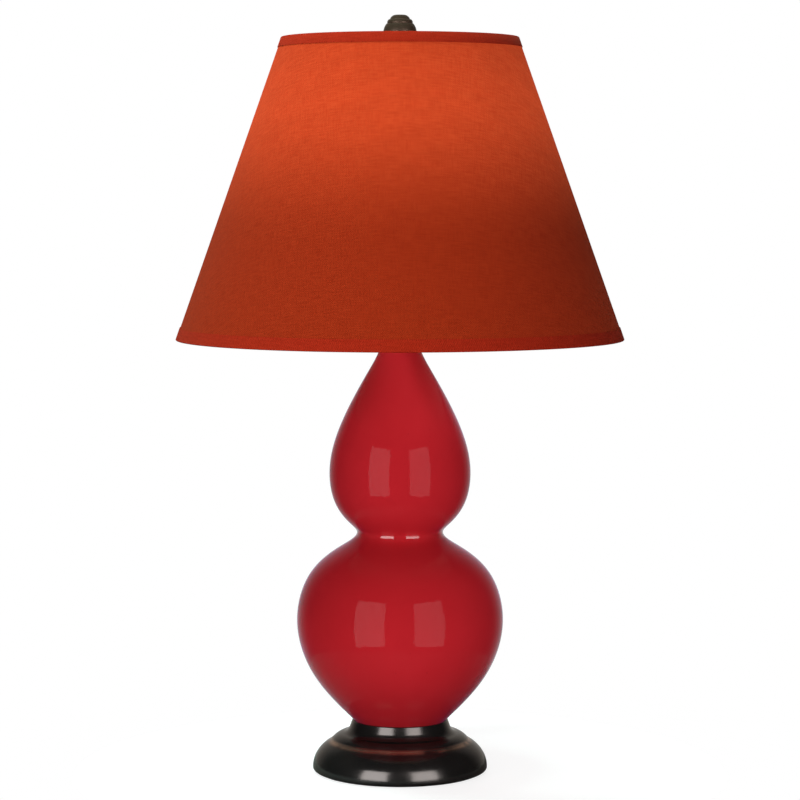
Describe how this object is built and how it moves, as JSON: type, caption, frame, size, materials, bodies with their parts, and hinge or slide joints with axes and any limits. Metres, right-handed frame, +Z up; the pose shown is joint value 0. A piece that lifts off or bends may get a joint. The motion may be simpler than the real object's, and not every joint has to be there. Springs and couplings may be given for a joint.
{
  "type": "table lamp",
  "caption": "Table lamp: a glazed double gourd body on a stepped round metal foot, with a tapered fabric shade on a harp under a turned finial.",
  "frame": {"origin": "on the lamp's axis, at the underside of the felt where it meets the table", "axes": "+Z up the lamp's axis, -Y towards the front with the switch knob, +Y to the back with the cord inlet, +X to the right"},
  "size_m": [0.3416, 0.3416, 0.578],
  "materials": {
    "dark_bronze": "oil-rubbed bronze, satin, copper showing on worn edges",
    "red_glaze": "deep crimson gloss glaze over ceramic",
    "felt": "black felt",
    "iron": "raw casting, matt",
    "zinc_steel": "zinc plated",
    "rubber": "black rubber",
    "black_plastic": "black moulded",
    "brass": "satin, lacquered",
    "bronze_wire": "bronze plated wire",
    "fibre": "vulcanised fibre sheet",
    "phenolic": "brown-black phenolic",
    "shade_cotton": "orange-red plain weave cotton",
    "shade_tape": "red cotton tape",
    "shade_lining": "white styrene sheet, matt",
    "white_wire": "white powder coated wire",
    "frosted_glass": "inside frosted",
    "aluminium": "rolled, satin",
    "black_glass": "black glass insulator"
  },
  "bodies": {
    "lamp_base": {"felt_pad": "felt", "base_shell": "dark_bronze", "base_weight": "iron", "base_washer": "zinc_steel", "base_nut": "zinc_steel", "cord_bushing": "black_plastic", "seat_gasket": "rubber", "gourd_body": "red_glaze", "neck_washer": "rubber", "vase_cap": "dark_bronze", "lamp_pipe": "zinc_steel", "check_ring": "brass", "harp_saddle": "bronze_wire", "socket_cap": "brass", "socket_cap_screw": "zinc_steel", "socket_shell": "brass", "socket_liner": "fibre", "socket_interior": "phenolic", "terminal_screws": "brass", "screw_shell": "brass", "centre_contact": "brass"},
    "harp": {"harp_frame": "bronze_wire"},
    "ferrule_left": {"harp_ferrule_left": "bronze_wire"},
    "ferrule_right": {"harp_ferrule_right": "bronze_wire"},
    "swivel": {"harp_swivel": "bronze_wire"},
    "shade": {"shade_fabric": "shade_cotton", "shade_liner": "shade_lining", "shade_top_trim": "shade_tape", "shade_bottom_trim": "shade_tape", "shade_bottom_ring": "white_wire", "shade_spider": "white_wire"},
    "finial": {"finial_body": "dark_bronze", "finial_insert": "brass"},
    "bulb": {"bulb_glass": "frosted_glass", "bulb_base": "aluminium", "bulb_insulator": "black_glass", "bulb_contact": "brass"},
    "switch": {"switch_spindle": "brass", "switch_knob": "black_plastic"}
  },
  "joints": [
    {"name": "harp_lift", "type": "slide", "parent": "lamp_base", "child": "harp", "axis": [0, 0, 1], "range_m": [0, 0.03]},
    {"name": "ferrule_left_slide", "type": "slide", "parent": "harp", "child": "ferrule_left", "axis": [0, 0, 1], "range_m": [0, 0.012]},
    {"name": "ferrule_right_slide", "type": "slide", "parent": "harp", "child": "ferrule_right", "axis": [0, 0, 1], "range_m": [0, 0.012]},
    {"name": "shade_swivel", "type": "hinge", "parent": "harp", "child": "swivel", "pos_m": [0, 0, 0.5496], "axis": [0, 0, 1], "continuous": true},
    {"name": "shade_lift", "type": "slide", "parent": "swivel", "child": "shade", "axis": [0, 0, 1], "range_m": [0, 0.26]},
    {"name": "finial_unscrew", "type": "slide", "parent": "swivel", "child": "finial", "axis": [0, 0, 1], "range_m": [0, 0.29]},
    {"name": "bulb_unscrew", "type": "slide", "parent": "lamp_base", "child": "bulb", "axis": [0, 0, 1], "range_m": [0, 0.03]},
    {"name": "switch_turn", "type": "hinge", "parent": "lamp_base", "child": "switch", "pos_m": [0, -0.02, 0.361], "axis": [0, -1, 0], "continuous": true}
  ],
  "couplings": [
    {"joint": "finial_unscrew", "follows": "shade_lift", "ratio": 1.115}
  ]
}
